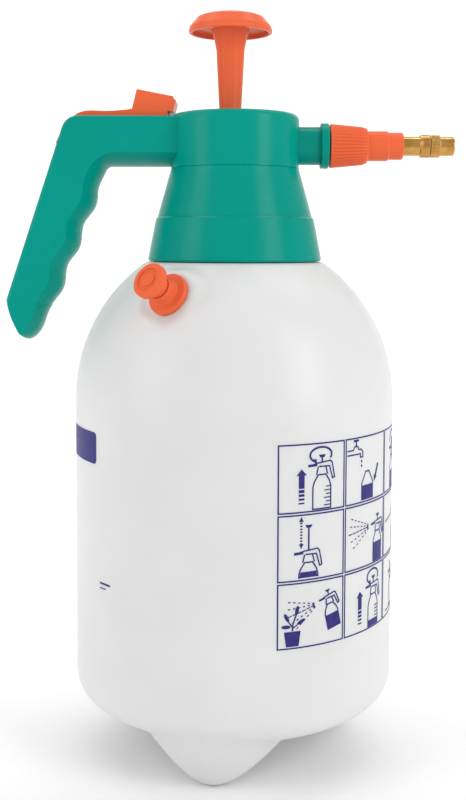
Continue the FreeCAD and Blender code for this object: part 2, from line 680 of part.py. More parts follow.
def build_nozzle():
    """Union nut, brass lance with its knurled ring, washers, swirl core and spray cap."""
    sleeve = turned_body(
        "Sleeve",
        [(dim.stub_radius + 0.3, dim.sleeve_left), (9.1, dim.sleeve_left), (7.85, 52.9),
         (7.2, 54.8), (6.15, 55.3), (6.15, 63.6), (5.6, 63.8), (5.6, dim.sleeve_right),
         (dim.stem_radius + 0.1, dim.sleeve_right), (dim.stem_radius + 0.1, 52.8),
         (dim.stub_radius + 0.3, 52.8)],
        rounds=[(9.1, dim.sleeve_left, 0.5), (7.85, 52.9, 0.7), (5.6, dim.sleeve_right, 0.6)],
    )
    on_line(sleeve, "nozzle_sleeve")
    washer = turned_body("Washer", [(2.0, 49.3), (5.7, 49.3), (5.7, 50.7), (2.0, 50.7)])
    on_line(washer, "nozzle_washer")
    lance = turned_body(
        "Lance",
        [(dim.jet_bore, 50.8), (5.7, 50.8), (5.7, 52.5), (dim.stem_radius, 52.5),
         (dim.stem_radius, dim.stem_right), (dim.knurl_radius, dim.stem_right),
         (dim.knurl_radius, dim.knurl_right), (2.9, dim.knurl_right), (2.9, 86.3),
         (dim.jet_bore, 86.3)],
        bevels=[(dim.knurl_radius, dim.stem_right, 0.35), (dim.knurl_radius, dim.knurl_right, 0.2)],
    )
    on_line(lance, "nozzle_lance")
    ring = turned_body("CapSeal", [(2.9, 82.7), (3.35, 82.7), (3.35, 83.7), (2.9, 83.7)])
    on_line(ring, "nozzle_o_ring")
    core = turned_body("SwirlCore", [(0, 83.1), (1.45, 83.1), (1.45, 86.2), (1.0, 87.1), (0, 87.1)])
    on_line(core, "swirl_core")
    cap = turned_body(
        "SprayCap",
        [(3.4, dim.cap_left), (4.6, dim.cap_left), (4.6, dim.cap_knurl_right),
         (3.9, dim.cap_knurl_right), (3.9, dim.cap_right), (1.6, dim.cap_right), (0.5, 90.3),
         (0.5, 88.9), (2.2, 87.7), (3.4, 87.7)],
        bevels=[(4.6, dim.cap_left, 0.2), (4.6, dim.cap_knurl_right, 0.2),
                (3.9, dim.cap_right, 0.5)],
    )
    on_line(cap, "spray_cap")


def write_sub_parts():
    """Check every object and every sub-part, then write one file for each sub-part."""
    doc.recompute()
    for thing in doc.Objects:
        if "Invalid" in thing.State or "Error" in thing.State:
            raise ValueError(f"{thing.Name} did not rebuild: {thing.State}")
    os.makedirs("parts", exist_ok=True)
    for thing in sub_parts:
        shape = thing.Shape
        if shape.isNull() or not shape.isValid() or not shape.Solids:
            raise ValueError(f"{thing.Label} has no valid solid")
        shape.exportStep(f"parts/{thing.Label}.step")
        print(f"{thing.Label}: {len(shape.Solids)} solid, {shape.Volume / 1000:.2f} cm3")


build_bottle()
build_relief_valve()
build_head()
build_collar()
build_trigger()
build_pump()
build_liquid_line()
build_nozzle()
write_sub_parts()
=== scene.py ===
"""Looks of the hand-pumped pressure sprayer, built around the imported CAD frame.

Lengths are millimetres in the frame's axes, and MM turns them into metres. Only the stage and
the scales of the materials' patterns are in metres.
"""

import json
import math

import bmesh
import bpy
from mathutils import Matrix, Vector


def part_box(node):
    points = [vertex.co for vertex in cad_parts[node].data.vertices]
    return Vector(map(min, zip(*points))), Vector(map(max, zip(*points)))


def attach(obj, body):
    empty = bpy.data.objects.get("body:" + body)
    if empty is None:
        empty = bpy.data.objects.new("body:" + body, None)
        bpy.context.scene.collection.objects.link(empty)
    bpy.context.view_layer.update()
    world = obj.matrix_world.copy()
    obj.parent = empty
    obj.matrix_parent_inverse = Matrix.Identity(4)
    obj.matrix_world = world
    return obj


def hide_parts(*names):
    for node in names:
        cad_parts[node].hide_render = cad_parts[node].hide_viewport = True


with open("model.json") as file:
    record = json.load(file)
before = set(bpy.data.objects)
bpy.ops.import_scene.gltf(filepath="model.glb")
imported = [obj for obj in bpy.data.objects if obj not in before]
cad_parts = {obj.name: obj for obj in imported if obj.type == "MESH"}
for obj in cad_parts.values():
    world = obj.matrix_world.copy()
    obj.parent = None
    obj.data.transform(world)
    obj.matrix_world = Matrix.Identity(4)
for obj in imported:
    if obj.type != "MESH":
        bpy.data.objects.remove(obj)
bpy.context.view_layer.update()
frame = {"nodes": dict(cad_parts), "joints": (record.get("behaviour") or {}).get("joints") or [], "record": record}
nodes = frame["nodes"]

MM = 0.001
TAU = 2 * math.pi

# Tank, read off the CAD tank's box where it can be.
TANK_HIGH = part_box("bottle")[1]
HEEL_RADIUS = TANK_HIGH.x / MM
SHOULDER_RADIUS = HEEL_RADIUS - 1.1
SHOULDER_LEVEL = 152.0
DOME_HEIGHT = 70.0
HEEL_ROUND = 12.0
FLOOR_LEVEL = 23.0
WALL = 1.8
NECK_TOP = TANK_HIGH.z / MM
NECK_RADIUS = 29.0
LEDGE_LEVEL = 210.4
THREAD_HEIGHT = 1.2
THREAD_PITCH = 4.0
FOOT_TURN = 10.0
FOOT_BLEND = 5.0
FOOT_FADE = 16.0
FLOOR_RISE = 0.8
LEDGE_ROUND = 0.6
RIM_ROUND = 0.5

# One foot: a leaning, widening cone with its tip on the ground.
FOOT_HEIGHT = 25.0
FOOT_TIP_PLACE = 45.0
FOOT_TIP_RADIUS = 4.0
FOOT_LEAN = 14.5
FOOT_SPREAD = 30.5
FOOT_CURVE = 0.72

# Where the relief valve stands on the dome, and the recess that its flange lies in.
RELIEF_TURN = math.radians(30.0)
RELIEF_DISTANCE = 50.6
RELIEF_ORIGIN = Vector((-RELIEF_DISTANCE * math.sin(RELIEF_TURN),
                        -RELIEF_DISTANCE * math.cos(RELIEF_TURN), 198.2))
RELIEF_JOINT = next(joint for joint in frame["joints"] if joint["name"] == "relief_pull")
RELIEF_AXIS = Vector(RELIEF_JOINT["axis"]).normalized()
RELIEF_HOLE_RADIUS = 5.0
RECESS_EDGE = 15.0
RECESS_BLEND = 5.5
RECESS_REACH = 12.0
RECESS_DEPTH = 0.5

# Height of the nozzle's axis.
LINE_LEVEL = (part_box("spray_cap")[0].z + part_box("spray_cap")[1].z) / 2 / MM


# ---------------------------------------------------------------- materials

class Nodes:
    """Small helper for one material's node tree."""

    def __init__(self, name):
        self.material = bpy.data.materials.new(name)
        self.material.use_nodes = True
        self.tree = self.material.node_tree
        self.shader = next(n for n in self.tree.nodes if n.type == "BSDF_PRINCIPLED")
        self.place = self.add("ShaderNodeTexCoord").outputs["Object"]

    def add(self, kind, **settings):
        """A new node of this kind, with its settings."""
        node = self.tree.nodes.new(kind)
        for key, value in settings.items():
            setattr(node, key, value)
        return node

    def link(self, start, end):
        """Joins an output to an input."""
        self.tree.links.new(start, end)

    def stretch(self, scale):
        """Object coordinates, scaled apart along the three axes."""
        mapping = self.add("ShaderNodeMapping")
        mapping.inputs["Scale"].default_value = scale
        self.link(self.place, mapping.inputs["Vector"])
        return mapping.outputs["Vector"]

    def noise(self, scale, detail=2.0, vector=None):
        """Procedural noise over the object's own coordinates."""
        noise = self.add("ShaderNodeTexNoise")
        noise.inputs["Scale"].default_value = scale
        noise.inputs["Detail"].default_value = detail
        self.link(vector or self.place, noise.inputs["Vector"])
        return noise.outputs["Fac"]

    def ramp(self, value, low, high, colours):
        """Turns a value between low and high into a blend of two colours."""
        ramp = self.add("ShaderNodeValToRGB")
        for stop, place, colour in zip(ramp.color_ramp.elements, (low, high), colours):
            stop.position = place
            stop.color = (*colour, 1.0)
        self.link(value, ramp.inputs["Fac"])
        return ramp.outputs["Color"]

    def spread(self, value, low, high):
        """Maps 0.3..0.7 of a noise onto low..high."""
        span = self.add("ShaderNodeMapRange")
        span.inputs["From Min"].default_value = 0.3
        span.inputs["From Max"].default_value = 0.7
        span.inputs["To Min"].default_value = low
        span.inputs["To Max"].default_value = high
        self.link(value, span.inputs["Value"])
        return span.outputs["Result"]

    def bump(self, value, strength, distance, below=None):
        """A normal bent by a height, on top of the bump below it."""
        bump = self.add("ShaderNodeBump")
        bump.inputs["Strength"].default_value = strength
        bump.inputs["Distance"].default_value = distance
        self.link(value, bump.inputs["Height"])
        if below is not None:
            self.link(below, bump.inputs["Normal"])
        return bump.outputs["Normal"]

    def set(self, **values):
        """Plain values for the shader's inputs, with _ for a space in a name."""
        for key, value in values.items():
            self.shader.inputs[key.replace("_", " ")].default_value = value


def moulded_plastic(name, dark, light, roughness, subsurface, grain=2600.0):
    """Injection-moulded plastic: slight colour drift, flow marks and a fine skin."""
    m = Nodes(name)
    drift = m.noise(18.0, 2.0)
    m.link(m.ramp(drift, 0.35, 0.68, (dark, light)), m.shader.inputs["Base Color"])
    gloss = m.noise(90.0, 2.0)
    m.link(m.spread(gloss, roughness - 0.03, roughness + 0.04), m.shader.inputs["Roughness"])
    flow = m.bump(m.noise(24.0, 1.0), 0.18, 0.0005)
    skin = m.bump(m.noise(grain, 1.0), 0.06, 0.00003, flow)
    m.link(skin, m.shader.inputs["Normal"])
    m.set(Subsurface_Weight=subsurface, Subsurface_Scale=0.002)
    m.shader.inputs["Subsurface Radius"].default_value = (1.0, 0.6, 0.5)
    m.set(IOR=1.49, Specular_IOR_Level=0.09)
    return m.material


def tank_plastic():
    """Blow-moulded milky tank: soft sheen, slow waves in the wall, a faint mould line."""
    m = Nodes("tank_plastic")
    cloud = m.noise(26.0, 4.0)
    tint = m.ramp(cloud, 0.32, 0.7, ((0.675, 0.675, 0.672), (0.71, 0.71, 0.706)))
    m.link(tint, m.shader.inputs["Base Color"])
    gloss = m.noise(210.0, 3.0)
    m.link(m.spread(gloss, 0.34, 0.46), m.shader.inputs["Roughness"])
    waves = m.bump(m.noise(13.0, 1.0, m.stretch((1.0, 1.0, 0.35))), 0.5, 0.0012)
    orange_peel = m.bump(m.noise(620.0, 2.0), 0.10, 0.00012, waves)
    split = m.add("ShaderNodeSeparateXYZ")
    m.link(m.place, split.inputs["Vector"])
    away = m.add("ShaderNodeMath", operation="ABSOLUTE")
    m.link(split.outputs["Y"], away.inputs[0])
    seam = m.add("ShaderNodeMapRange", interpolation_type="SMOOTHSTEP")
    seam.inputs["From Min"].default_value = 0.0001
    seam.inputs["From Max"].default_value = 0.0006
    seam.inputs["To Min"].default_value = 1.0
    seam.inputs["To Max"].default_value = 0.0
    m.link(away.outputs["Value"], seam.inputs["Value"])
    m.link(m.bump(seam.outputs["Result"], 0.6, 0.00015, orange_peel), m.shader.inputs["Normal"])
    m.set(Subsurface_Weight=0.35, Subsurface_Scale=0.006, IOR=1.5)
    m.shader.inputs["Subsurface Radius"].default_value = (1.0, 0.95, 0.9)
    return m.material


def turned_brass():
    """Machined brass: fine turning rings along X, warm tarnish in the hollows."""
    m = Nodes("turned_brass")
    tarnish = m.noise(160.0, 2.0)
    tint = m.ramp(tarnish, 0.33, 0.72, ((0.46, 0.22, 0.050), (0.68, 0.39, 0.120)))
    m.link(tint, m.shader.inputs["Base Color"])
    rings = m.noise(900.0, 3.0, m.stretch((9.0, 0.25, 0.25)))
    m.link(m.spread(rings, 0.14, 0.26), m.shader.inputs["Roughness"])
    m.link(m.bump(rings, 0.16, 0.00003), m.shader.inputs["Normal"])
    m.set(Metallic=1.0)
    return m.material


def spring_steel():
    """Drawn steel wire and pins."""
    m = Nodes("spring_steel")
    marks = m.noise(1500.0, 3.0)
    m.link(m.ramp(marks, 0.3, 0.7, ((0.42, 0.42, 0.43), (0.62, 0.62, 0.62))),
           m.shader.inputs["Base Color"])
    m.link(m.spread(marks, 0.22, 0.38), m.shader.inputs["Roughness"])
    m.set(Metallic=1.0)
    return m.material


def seal_rubber():
    """Black moulded rubber."""
    m = Nodes("seal_rubber")
    dust = m.noise(300.0, 4.0)
    m.link(m.ramp(dust, 0.35, 0.75, ((0.018, 0.018, 0.018), (0.045, 0.045, 0.044))),
           m.shader.inputs["Base Color"])
    m.link(m.spread(dust, 0.55, 0.75), m.shader.inputs["Roughness"])
    m.link(m.bump(m.noise(2200.0), 0.2, 0.00004), m.shader.inputs["Normal"])
    return m.material


def print_ink():
    """Dark blue screen print, slightly uneven."""
    m = Nodes("print_ink")
    cover = m.noise(340.0, 5.0)
    tint = m.ramp(cover, 0.32, 0.72, ((0.018, 0.013, 0.140), (0.034, 0.027, 0.195)))
    m.link(tint, m.shader.inputs["Base Color"])
    m.link(m.spread(cover, 0.38, 0.52), m.shader.inputs["Roughness"])
    m.set(Specular_IOR_Level=0.2)
    m.link(m.bump(m.noise(1800.0, 2.0), 0.15, 0.00003), m.shader.inputs["Normal"])
    return m.material


MATERIALS = {
    "tank_plastic": tank_plastic(),
    "green_plastic": moulded_plastic(
        "green_plastic", (0.0, 0.258, 0.202), (0.0, 0.284, 0.228), 0.24, 0.0),
    "orange_plastic": moulded_plastic(
        "orange_plastic", (0.75, 0.122, 0.045), (0.79, 0.142, 0.054), 0.28, 0.05),
    "inner_plastic": moulded_plastic(
        "inner_plastic", (0.70, 0.70, 0.67), (0.78, 0.78, 0.75), 0.40, 0.15),
    "brass": turned_brass(),
    "spring_steel": spring_steel(),
    "seal_rubber": seal_rubber(),
}
INK = print_ink()


def dress(thing, material):
    """Give a piece this one material in place of what it has."""
    thing.data.materials.clear()
    thing.data.materials.append(material)


def dress_cad_nodes():
    """Every CAD node takes the material of its slot."""
    for part in frame["record"]["subparts"]:
        dress(nodes[part["node"]], MATERIALS[part["material_slot"]])
    soften(nodes["trigger_lever"], 0.5)


def soften(thing, width):
    """Round the sharp edges of a flat-sided node by this many millimetres."""
    bevel = thing.modifiers.new("edge", "BEVEL")
    bevel.width = width * MM
    bevel.segments = 3
    bevel.limit_method = "ANGLE"
    bevel.angle_limit = math.radians(35)
    bevel.use_clamp_overlap = True


# ---------------------------------------------------------------- mesh helpers

def mesh_piece(name, points, faces, material, body, smooth=True):
    """A new visible piece that rides on a CAD body."""
    mesh = bpy.data.meshes.new(name)
    mesh.from_pydata(points, [], faces)
    mesh.validate()
    piece = bpy.data.objects.new(name, mesh)
    bpy.context.scene.collection.objects.link(piece)
    cleaner = bmesh.new()
    cleaner.from_mesh(mesh)
    bmesh.ops.recalc_face_normals(cleaner, faces=cleaner.faces)
    cleaner.to_mesh(mesh)
    cleaner.free()
    mesh.polygons.foreach_set("use_smooth", [smooth] * len(mesh.polygons))
    dress(piece, material)
    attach(piece, body)
    return piece


def apply_modifiers(piece):
    """Bake a piece's modifiers into its mesh."""
    bpy.context.view_layer.update()
    graph = bpy.context.evaluated_depsgraph_get()
    mesh = bpy.data.meshes.new_from_object(piece.evaluated_get(graph))
    piece.modifiers.clear()
    piece.data = mesh


def rounded(corners, steps=4):
    """A closed outline with its marked corners rounded.

    corners are (along, radius, round); a round of 0 keeps the corner sharp.
    """
    outline = []
    for index, (along, radius, bend) in enumerate(corners):
        here = Vector((along, radius))
        if bend == 0:
            outline.append(tuple(here))
            continue
        before = Vector(corners[index - 1][:2]) - here
        after = Vector(corners[(index + 1) % len(corners)][:2]) - here
        half = before.angle(after) / 2
        reach = min(bend / math.tan(half), 0.49 * before.length, 0.49 * after.length)
        bend = reach * math.tan(half)
        middle = (before.normalized() + after.normalized()).normalized()
        centre = here + middle * (bend / math.sin(half))
        start = here + before.normalized() * reach - centre
        end = here + after.normalized() * reach - centre
        turn = math.atan2(start.x * end.y - start.y * end.x, start.dot(end))
        for step in range(steps + 1):
            angle = turn * step / steps
            cosine, sine = math.cos(angle), math.sin(angle)
            outline.append((
                centre.x + start.x * cosine - start.y * sine,
                centre.y + start.x * sine + start.y * cosine,
            ))
    return outline


def turned_piece(name, outline, segments, relief, material, body):
    """A ring-shaped piece turned about the nozzle's axis.

    outline is a closed loop of (x, radius); relief(x, radius, angle) raises the surface.
    """
    points, faces = [], []
    for x, radius in outline:
        for step in range(segments):
            angle = TAU * step / segments
            reach = radius + relief(x, radius, angle)
            points.append((x * MM, reach * math.cos(angle) * MM,
                           (LINE_LEVEL + reach * math.sin(angle)) * MM))
    rows = len(outline)
    for row in range(rows):
        following = (row + 1) % rows
        for step in range(segments):
            ahead = (step + 1) % segments
            faces.append((row * segments + step, row * segments + ahead,
                          following * segments + ahead, following * segments + step))
    return mesh_piece(name, points, faces, material, body)


# ---------------------------------------------------------------- tank

def smooth_min(first, second, blend):
    """The lower of two heights, with the crease between them rounded."""
    share = max(blend - abs(first - second), 0.0) / blend
    return min(first, second) - share * share * blend / 4


def foot_level(x, y, turn):
    """Height of one foot's skin over a point of the floor, as the CAD foot's cone has it."""
    along = x * math.cos(turn) + y * math.sin(turn)
    across = -x * math.sin(turn) + y * math.cos(turn)
    low, high = 0.0, 3.0
    for _ in range(30):
        share = (low + high) / 2
        spread = FOOT_TIP_RADIUS + FOOT_SPREAD * share ** FOOT_CURVE
        place = FOOT_TIP_PLACE - FOOT_LEAN * share
        if math.hypot(along - place, across) > spread:
            low = share
        else:
            high = share
    return FOOT_HEIGHT * low


def foot_height(radius, level, angle, turns):
    """The skin's height where the feet grow out of the floor and the heel."""
    x, y = radius * math.cos(angle), radius * math.sin(angle)
    for turn in turns:
        level = smooth_min(level, foot_level(x, y, turn), FOOT_BLEND)
    return max(level, 0.0)


def press_recess(point):
    """Flatten the dome under the relief valve's flange into a shallow round recess."""
    offset = point - RELIEF_ORIGIN
    height = offset.dot(RELIEF_AXIS)
    away = (offset - RELIEF_AXIS * height).length
    if away > RECESS_EDGE or abs(height) > RECESS_REACH:
        return point
    share = min(1.0, (RECESS_EDGE - away) / RECESS_BLEND)
    share = share * share * (3 - 2 * share)
    return point + RELIEF_AXIS * ((-RECESS_DEPTH - height) * share)


def wall_radius(level):
    """The tank's radius on its slightly tapered wall."""
    heel = FLOOR_LEVEL + HEEL_ROUND
    share = (level - heel) / (SHOULDER_LEVEL - heel)
    return HEEL_RADIUS + (SHOULDER_RADIUS - HEEL_RADIUS) * share


def tank_profile():
    """The tank's outer half section from the middle of its floor to its rim: (radius, z)."""
    flat = HEEL_RADIUS - HEEL_ROUND
    profile = []
    for step in range(1, 31):
        radius = flat * step / 31
        profile.append((radius, FLOOR_LEVEL + FLOOR_RISE * (1 - (radius / flat) ** 2)))
    for step in range(17):
        angle = math.pi / 2 * step / 16
        profile.append((flat + HEEL_ROUND * math.sin(angle),
                        FLOOR_LEVEL + HEEL_ROUND * (1 - math.cos(angle))))
    heel = FLOOR_LEVEL + HEEL_ROUND
    for step in range(1, 31):
        level = heel + (SHOULDER_LEVEL - heel) * step / 31
        profile.append((wall_radius(level), level))
    end = math.asin((LEDGE_LEVEL - SHOULDER_LEVEL) / DOME_HEIGHT)
    for step in range(57):
        angle = end * step / 56
        profile.append((SHOULDER_RADIUS * math.cos(angle),
                        SHOULDER_LEVEL + DOME_HEIGHT * math.sin(angle)))
    profile[-1] = (profile[-1][0] - LEDGE_ROUND, LEDGE_LEVEL)
    profile.append((NECK_RADIUS + 2 * LEDGE_ROUND, LEDGE_LEVEL))
    profile.append((NECK_RADIUS, LEDGE_LEVEL + LEDGE_ROUND))
    steps = 34
    for step in range(1, steps + 1):
        profile.append((NECK_RADIUS, LEDGE_LEVEL + LEDGE_ROUND
                        + (NECK_TOP - RIM_ROUND - LEDGE_LEVEL - LEDGE_ROUND) * step / steps))
    profile.append((NECK_RADIUS - RIM_ROUND, NECK_TOP))
    return profile


def thread_rise(level, angle):
    """How far the neck's thread stands out at this height and angle."""
    start, end, run_out = LEDGE_LEVEL + 2.2, NECK_TOP - 1.6, 1.2
    phase = (level - start) / THREAD_PITCH - angle / TAU
    tooth = max(0.0, math.cos(TAU * (phase - round(phase))) - 0.35) / 0.65
    fade = min(1.0, max(0.0, (level - start) / run_out))
    fade *= min(1.0, max(0.0, (end - level) / run_out))
    return THREAD_HEIGHT * min(1.0, 1.6 * tooth) * fade


def build_tank():
    """The milky tank: dome, wall, three feet that grow out of the floor, threaded neck."""
    segments = 240
    profile = tank_profile()
    turns = [math.radians(-90 - FOOT_TURN + 120 * number) for number in range(3)]
    heel = FLOOR_LEVEL + HEEL_ROUND
    points = [(0.0, 0.0, (FLOOR_LEVEL + FLOOR_RISE) * MM)]
    for radius, level in profile:
        for step in range(segments):
            angle = TAU * step / segments
            reach, height = radius, level
            if level <= heel:
                height = foot_height(radius, level, angle, turns)
            elif level < heel + FOOT_FADE:
                pull = heel - foot_height(radius, heel, angle, turns)
                height -= pull * (1 - (level - heel) / FOOT_FADE) ** 2
            elif level > LEDGE_LEVEL:
                reach += thread_rise(level, angle)
            point = Vector((reach * math.cos(angle), reach * math.sin(angle), height))
            points.append(press_recess(point) * MM)
    faces = []
    for step in range(segments):
        faces.append((0, 1 + (step + 1) % segments, 1 + step))
    for row in range(len(profile) - 1):
        low, high = 1 + row * segments, 1 + (row + 1) * segments
        for step in range(segments):
            ahead = (step + 1) % segments
            faces.append((low + step, low + ahead, high + ahead, high + step))
    tank = mesh_piece("tank", points, faces, MATERIALS["tank_plastic"], "bottle")
    wall = tank.modifiers.new("wall", "SOLIDIFY")
    wall.thickness = WALL * MM
    wall.offset = -1.0
    apply_modifiers(tank)
    drill_relief_hole(tank)
    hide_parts("bottle")


def drill_relief_hole(tank):
    """Open the dome round the relief valve's stem, along the valve's axis."""
    middle = RELIEF_ORIGIN * MM
    across = RELIEF_AXIS.orthogonal().normalized()
    up = RELIEF_AXIS.cross(across)
    sides = 48
    points, faces = [], []
    for end in (-15.0, 12.0):
        for step in range(sides):
            angle = TAU * step / sides
            points.append(middle + (RELIEF_AXIS * end
                                    + across * (RELIEF_HOLE_RADIUS * math.cos(angle))
                                    + up * (RELIEF_HOLE_RADIUS * math.sin(angle))) * MM)
    for step in range(sides):
        ahead = (step + 1) % sides
        faces.append((step, ahead, sides + ahead, sides + step))
    faces.append(tuple(range(sides)))
    faces.append(tuple(range(sides, 2 * sides)))
    mesh = bpy.data.meshes.new("relief_drill")
    mesh.from_pydata(points, [], faces)
    cleaner = bmesh.new()
    cleaner.from_mesh(mesh)
    bmesh.ops.recalc_face_normals(cleaner, faces=cleaner.faces)
    cleaner.to_mesh(mesh)
    cleaner.free()
    drill = bpy.data.objects.new("relief_drill", mesh)
    bpy.context.scene.collection.objects.link(drill)
    cut = tank.modifiers.new("relief hole", "BOOLEAN")
    cut.operation = "DIFFERENCE"
    cut.solver = "EXACT"
    cut.object = drill
    apply_modifiers(tank)
    bpy.data.objects.remove(drill)


# ---------------------------------------------------------------- nozzle

def build_nozzle_sleeve():
    """The ribbed union nut that holds the brass lance on the spout."""
    left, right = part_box("nozzle_sleeve")[0].x / MM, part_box("nozzle_sleeve")[1].x / MM
    ribs, rib_depth, ribbed_from, ribbed_to = 36, 0.416, left + 0.35, 55.0
    shoulder, bore, lance_hole = 52.8, 6.1, 4.05
    outline = rounded([
        (left, bore, 0), (left, 9.05, 0.5), (shoulder, 7.8, 0.8), (54.7, 7.15, 0.5),
        (55.3, 6.12, 0.4), (63.4, 6.12, 0.4), (63.9, 5.58, 0.3), (right, 5.58, 0.8),
        (right, lance_hole, 0), (shoulder, lance_hole, 0), (shoulder, bore, 0),
    ])
    dense = subdivided(outline, 0.5)

    def relief(x, radius, angle):
        """Grooves between the ribs, which run out at both ends and spare the bore."""
        if radius < bore + 0.2 or x > ribbed_to or x < ribbed_from:
            return 0.0
        fade = min(1.0, (ribbed_to - x) / 0.8) * min(1.0, (x - ribbed_from) / 0.5)
        wave = abs(math.sin(angle * ribs / 2))
        return -rib_depth * (1 - wave) ** 2 * fade

    piece = turned_piece("nozzle_sleeve_ribbed", dense, ribs * 10, relief,
                         MATERIALS["orange_plastic"], "nozzle_nut")
    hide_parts("nozzle_sleeve")


def subdivided(outline, longest):
    """The same closed outline with its long runs divided."""
    result = []
    for start, end in zip(outline, outline[1:] + outline[:1]):
        result.append(start)
        length = math.dist(start, end)
        parts = max(1, math.ceil(length / longest))
        for part in range(1, parts):
            share = part / parts
            result.append((start[0] + (end[0] - start[0]) * share,
                           start[1] + (end[1] - start[1]) * share))
    return result


def build_brass():
    """The brass lance with its diamond-knurled ring, and the straight-knurled spray cap."""
    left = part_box("nozzle_lance")[0].x / MM
    ring_left, ring_right, ring_radius = 76.9, 80.9, 4.65
    collar, collar_radius, barrel = 52.5, 5.7, 3.95
    tip, tip_radius, bore = 86.3, 2.9, 1.5
    lance = subdivided(rounded([
        (left, bore, 0), (left, collar_radius, 0.2), (collar, collar_radius, 0.2),
        (collar, barrel, 0), (ring_left, barrel, 0), (ring_left, ring_radius, 0.45),
        (ring_right, ring_radius, 0.25), (ring_right, tip_radius, 0), (tip, tip_radius, 0.2),
        (tip, bore, 0),
    ]), 0.22)
    teeth, diamond_depth = 40, 0.16

    def diamond(x, radius, angle):
        """Two crossing sets of grooves round the lance's ring."""
        if radius < ring_radius - 0.15 or not ring_left + 0.7 < x < ring_right - 0.15:
            return 0.0
        twist = (x - ring_left) / radius
        first = abs(math.sin((angle + twist) * teeth / 2))
        second = abs(math.sin((angle - twist) * teeth / 2))
        return -diamond_depth * (1 - min(first, second))

    piece = turned_piece("nozzle_lance_knurled", lance, 240, diamond, MATERIALS["brass"],
                         "head")
    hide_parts("nozzle_lance")

    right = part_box("spray_cap")[1].x / MM
    cap_left, knurl_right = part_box("spray_cap")[0].x / MM, 85.2
    knurl_radius, nose_radius, cap_bore, jet = 4.6, 3.9, 3.4, 0.5
    cap = subdivided(rounded([
        (cap_left, cap_bore, 0), (cap_left, knurl_radius, 0.2), (knurl_right, knurl_radius, 0.25),
        (knurl_right, nose_radius, 0.1), (right, nose_radius, 0.55), (right, 1.9, 0.2),
        (right - 0.9, jet, 0), (88.9, jet, 0), (87.7, 2.2, 0), (87.7, cap_bore, 0),
    ]), 0.3)
    pairs, groove_depth = 24, 0.2

    def straight(x, radius, angle):
        """Grooves along the cap's knurl, two for each pair."""
        if radius < knurl_radius - 0.15 or not cap_left + 0.3 < x < knurl_right - 0.3:
            return 0.0
        return -groove_depth * (1 - abs(math.sin(angle * pairs)))

    piece = turned_piece("spray_cap_knurled", cap, 384, straight, MATERIALS["brass"],
                         "spray_cap")
    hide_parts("spray_cap")


# ---------------------------------------------------------------- printed label

INK_LIFT = 0.05


class Print:
    """Flat ink shapes wrapped onto the tank's wall.

    A shape's points are millimetres: across to the right of the label's left edge, and height.
    """

    def __init__(self, name, left_turn):
        self.name = name
        self.left_turn = left_turn
        self.sheet = bmesh.new()

    def wrap(self, across, level):
        """A place on the label, just outside the wall."""
        radius = wall_radius(level) + INK_LIFT
        angle = self.left_turn + across / SHOULDER_RADIUS
        return Vector((radius * math.sin(angle), -radius * math.cos(angle), level)) * MM

    def area(self, outline):
        """A filled shape."""
        face = self.sheet.faces.new([self.sheet.verts.new((x, y, 0)) for x, y in outline])
        bmesh.ops.triangulate(self.sheet, faces=[face])

    def line(self, path, width, closed=False):
        """A stroke with mitred corners."""
        path = [Vector(point) for point in path]
        count = len(path)
        left, right = [], []
        for index, here in enumerate(path):
            before = path[index - 1] if closed or index else None
            after = path[(index + 1) % count] if closed or index < count - 1 else None
            runs = []
            if before is not None:
                runs.append((here - before).normalized())
            if after is not None:
                runs.append((after - here).normalized())
            along = sum(runs, Vector((0, 0))).normalized()
            normal = Vector((-along.y, along.x))
            lean = max(0.45, abs(normal.dot(Vector((-runs[0].y, runs[0].x)))))
            left.append(here + normal * (width / 2 / lean))
            right.append(here - normal * (width / 2 / lean))
        made = [(self.sheet.verts.new((*a, 0)), self.sheet.verts.new((*b, 0)))
                for a, b in zip(left, right)]
        last = count if closed else count - 1
        for index in range(last):
            (a, b), (c, d) = made[index], made[(index + 1) % count]
            self.sheet.faces.new((a, b, d, c))

    def finish(self, material, thickness=0.05):
        """Divide long edges, wrap the ink onto the wall and give it a thickness."""
        for _ in range(4):
            long = [edge for edge in self.sheet.edges
                    if abs(edge.verts[0].co.x - edge.verts[1].co.x) > 2.0]
            if not long:
                break
            bmesh.ops.subdivide_edges(self.sheet, edges=long, cuts=1)
            bmesh.ops.triangulate(self.sheet, faces=self.sheet.faces)
        self.sheet.verts.index_update()
        points = [self.wrap(vert.co.x, vert.co.y) for vert in self.sheet.verts]
        faces = [[vert.index for vert in face.verts] for face in self.sheet.faces]
        self.sheet.free()
        piece = mesh_piece(self.name, points, faces, material, "bottle",
                           smooth=False)
        solid = piece.modifiers.new("ink", "SOLIDIFY")
        solid.thickness = thickness * MM
        solid.offset = 0.0
        apply_modifiers(piece)
        return piece


def arc(centre, across, up, start, end, steps=18):
    """Points on an ellipse between two angles in degrees."""
    points = []
    for step in range(steps + 1):
        angle = math.radians(start + (end - start) * step / steps)
        points.append((centre[0] + across * math.cos(angle), centre[1] + up * math.sin(angle)))
    return points


def moved(points, place, scale=1.0, turn=0.0):
    """Points scaled, turned by degrees and moved to a place."""
    cosine, sine = math.cos(math.radians(turn)), math.sin(math.radians(turn))
    return [(place[0] + scale * (x * cosine - y * sine), place[1] + scale * (x * sine + y * cosine))
            for x, y in points]


THIN = 0.58  # the stroke of the pictograms' outlines


